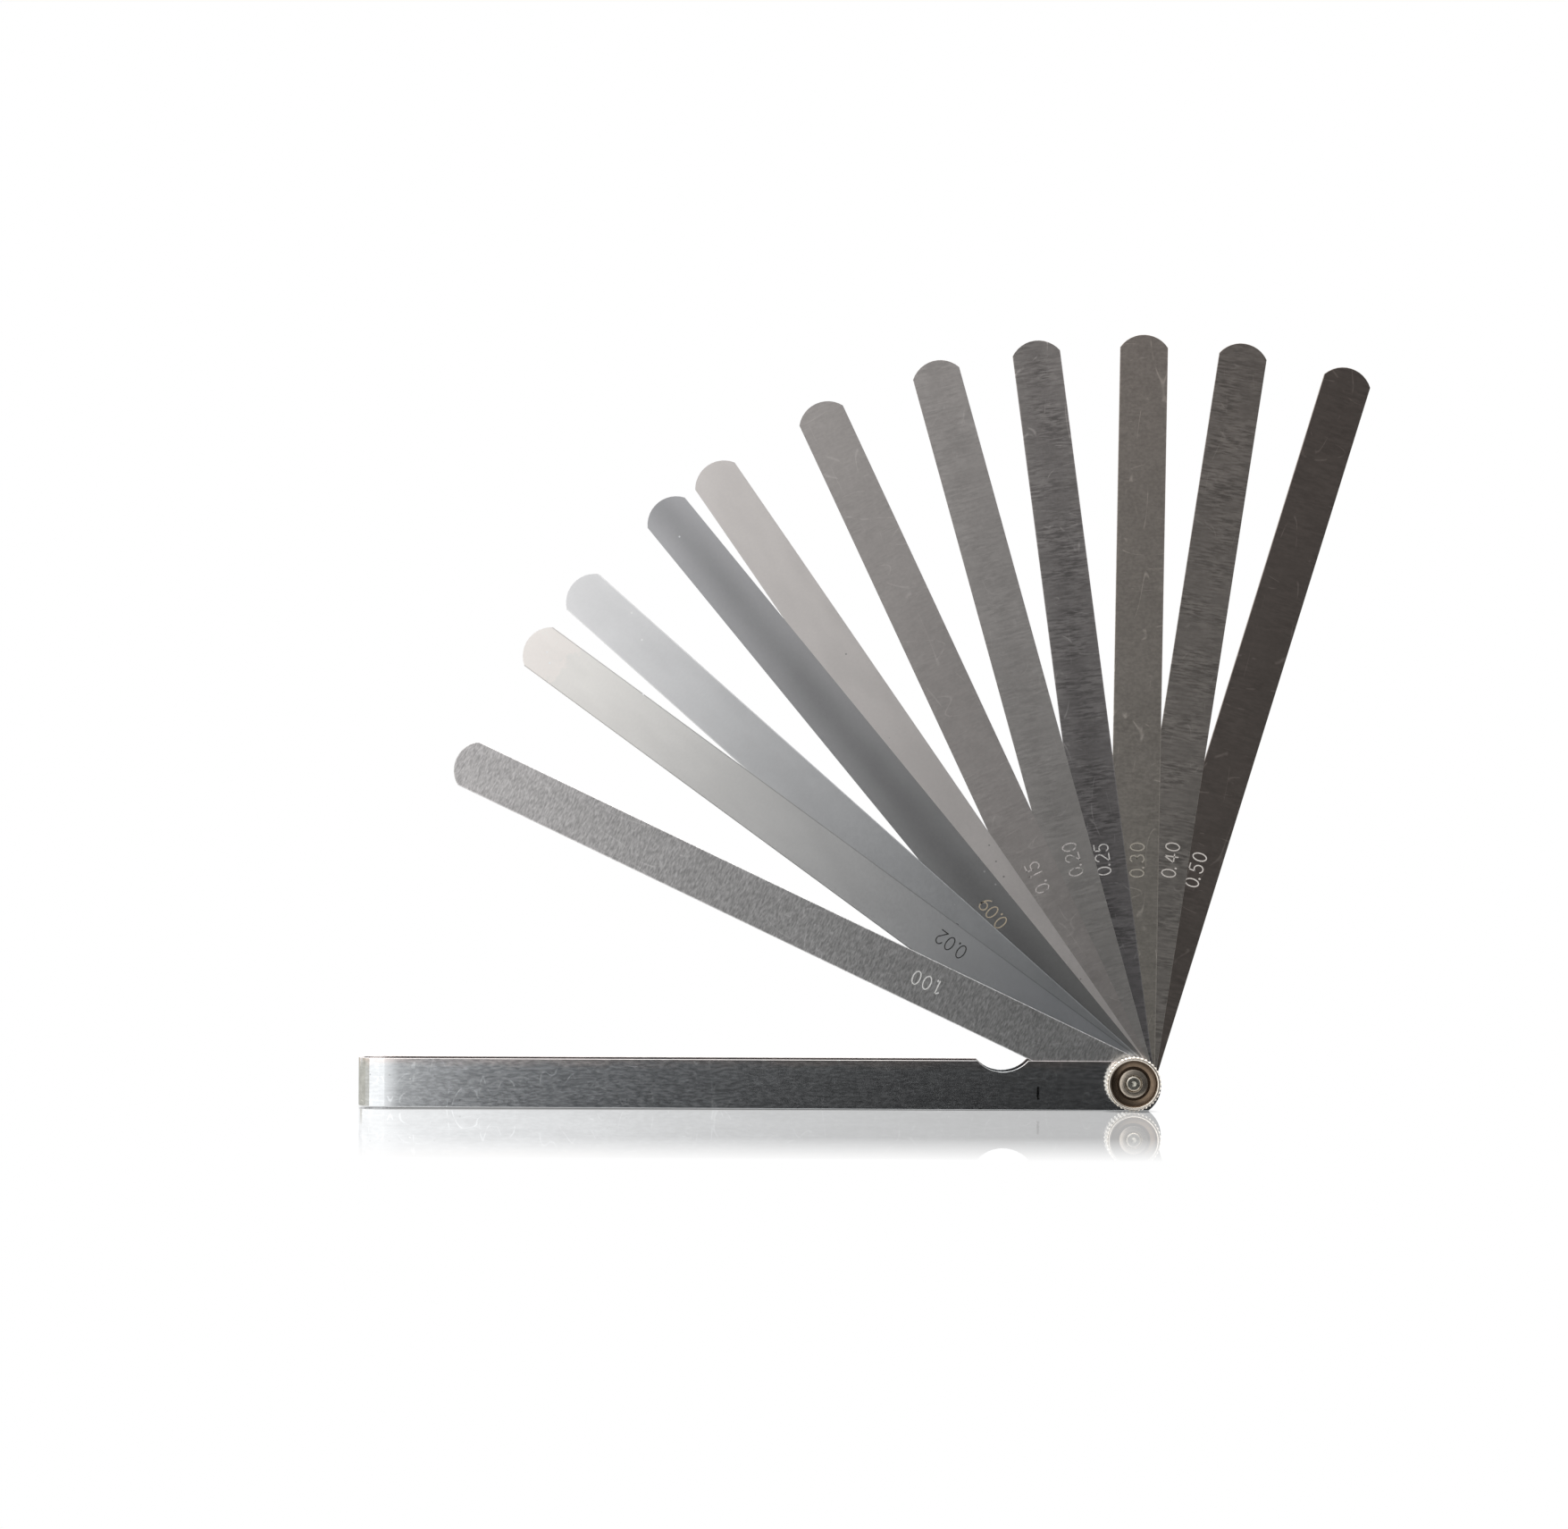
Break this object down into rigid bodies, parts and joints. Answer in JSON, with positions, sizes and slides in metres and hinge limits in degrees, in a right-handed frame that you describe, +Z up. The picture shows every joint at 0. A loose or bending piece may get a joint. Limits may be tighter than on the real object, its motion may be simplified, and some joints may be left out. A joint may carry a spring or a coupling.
{
  "type": "feeler gauge",
  "caption": "Fan of thin steel measuring blades with round ends, swinging on one pivot screw with a knurled nut out of a case folded from a strip of polished steel.",
  "frame": {"origin": "centre of the pivot screw's flat head, on the pivot axis at the back of the gauge", "axes": "+Y along the pivot axis, out of the back; -X along the case from the pivot to the fold; +Z up, the side that the blades swing out of"},
  "size_m": [0.2631, 0.0114, 0.202],
  "materials": {
    "blade_100": "rolled and hardened spring steel, satin",
    "blade_002": "rolled and hardened spring steel, satin",
    "blade_003": "rolled and hardened spring steel, satin",
    "blade_004": "rolled and hardened spring steel, satin",
    "blade_005": "rolled and hardened spring steel, satin",
    "blade_006": "rolled and hardened spring steel, satin",
    "blade_007": "rolled and hardened spring steel, satin",
    "blade_008": "rolled and hardened spring steel, satin",
    "blade_009": "rolled and hardened spring steel, satin",
    "blade_010": "rolled and hardened spring steel, satin",
    "blade_015": "rolled and hardened spring steel, satin",
    "blade_020": "rolled and hardened spring steel, satin",
    "blade_025": "rolled and hardened spring steel, satin",
    "blade_030": "rolled and hardened spring steel, satin",
    "blade_040": "rolled and hardened spring steel, satin",
    "blade_050": "rolled and hardened spring steel, satin",
    "blade_075": "rolled and hardened spring steel, satin",
    "case_strip": "polished cold rolled strip",
    "pivot_screw": "zinc plated, turned",
    "knurled_nut": "nickel plated, knurled rim, turned face"
  },
  "bodies": {
    "case": {"case_strip": "case_strip", "pivot_screw": "pivot_screw"},
    "knurled_nut": {"knurled_nut": "knurled_nut"},
    "blade_100": {"blade_100": "blade_100"},
    "blade_002": {"blade_002": "blade_002"},
    "blade_003": {"blade_003": "blade_003"},
    "blade_004": {"blade_004": "blade_004"},
    "blade_005": {"blade_005": "blade_005"},
    "blade_006": {"blade_006": "blade_006"},
    "blade_007": {"blade_007": "blade_007"},
    "blade_008": {"blade_008": "blade_008"},
    "blade_009": {"blade_009": "blade_009"},
    "blade_010": {"blade_010": "blade_010"},
    "blade_015": {"blade_015": "blade_015"},
    "blade_020": {"blade_020": "blade_020"},
    "blade_025": {"blade_025": "blade_025"},
    "blade_030": {"blade_030": "blade_030"},
    "blade_040": {"blade_040": "blade_040"},
    "blade_050": {"blade_050": "blade_050"},
    "blade_075": {"blade_075": "blade_075"}
  },
  "joints": [
    {"name": "blade_100_swing", "type": "hinge", "parent": "case", "child": "blade_100", "pos_m": [0, -0.0046, 0], "axis": [0, 1, 0], "range_deg": [-25.35, 154.65]},
    {"name": "blade_002_swing", "type": "hinge", "parent": "case", "child": "blade_002", "pos_m": [0, -0.0046, 0], "axis": [0, 1, 0], "range_deg": [-35.97, 144.03]},
    {"name": "blade_003_swing", "type": "hinge", "parent": "case", "child": "blade_003", "pos_m": [0, -0.0046, 0], "axis": [0, 1, 0], "range_deg": [-41.45, 138.55]},
    {"name": "blade_004_swing", "type": "hinge", "parent": "case", "child": "blade_004", "pos_m": [0, -0.0046, 0], "axis": [0, 1, 0], "range_deg": [-41.45, 138.55]},
    {"name": "blade_005_swing", "type": "hinge", "parent": "case", "child": "blade_005", "pos_m": [0, -0.0046, 0], "axis": [0, 1, 0], "range_deg": [-41.45, 138.55]},
    {"name": "blade_006_swing", "type": "hinge", "parent": "case", "child": "blade_006", "pos_m": [0, -0.0046, 0], "axis": [0, 1, 0], "range_deg": [-41.45, 138.55]},
    {"name": "blade_007_swing", "type": "hinge", "parent": "case", "child": "blade_007", "pos_m": [0, -0.0046, 0], "axis": [0, 1, 0], "range_deg": [-41.45, 138.55]},
    {"name": "blade_008_swing", "type": "hinge", "parent": "case", "child": "blade_008", "pos_m": [0, -0.0046, 0], "axis": [0, 1, 0], "range_deg": [-41.45, 138.55]},
    {"name": "blade_009_swing", "type": "hinge", "parent": "case", "child": "blade_009", "pos_m": [0, -0.0046, 0], "axis": [0, 1, 0], "range_deg": [-50.42, 129.58]},
    {"name": "blade_010_swing", "type": "hinge", "parent": "case", "child": "blade_010", "pos_m": [0, -0.0046, 0], "axis": [0, 1, 0], "range_deg": [-55.18, 124.82]},
    {"name": "blade_015_swing", "type": "hinge", "parent": "case", "child": "blade_015", "pos_m": [0, -0.0046, 0], "axis": [0, 1, 0], "range_deg": [-64.73, 115.27]},
    {"name": "blade_020_swing", "type": "hinge", "parent": "case", "child": "blade_020", "pos_m": [0, -0.0046, 0], "axis": [0, 1, 0], "range_deg": [-74.3, 105.7]},
    {"name": "blade_025_swing", "type": "hinge", "parent": "case", "child": "blade_025", "pos_m": [0, -0.0046, 0], "axis": [0, 1, 0], "range_deg": [-82.29, 97.71]},
    {"name": "blade_030_swing", "type": "hinge", "parent": "case", "child": "blade_030", "pos_m": [0, -0.0046, 0], "axis": [0, 1, 0], "range_deg": [-90.74, 89.26]},
    {"name": "blade_040_swing", "type": "hinge", "parent": "case", "child": "blade_040", "pos_m": [0, -0.0046, 0], "axis": [0, 1, 0], "range_deg": [-98.52, 81.48]},
    {"name": "blade_050_swing", "type": "hinge", "parent": "case", "child": "blade_050", "pos_m": [0, -0.0046, 0], "axis": [0, 1, 0], "range_deg": [-106.93, 73.07]},
    {"name": "blade_075_swing", "type": "hinge", "parent": "case", "child": "blade_075", "pos_m": [0, -0.0046, 0], "axis": [0, 1, 0], "range_deg": [-106.93, 73.07]},
    {"name": "knurled_nut_turn", "type": "hinge", "parent": "case", "child": "knurled_nut", "pos_m": [0, -0.0096, 0], "axis": [0, -1, 0], "range_deg": [0, 360]}
  ]
}
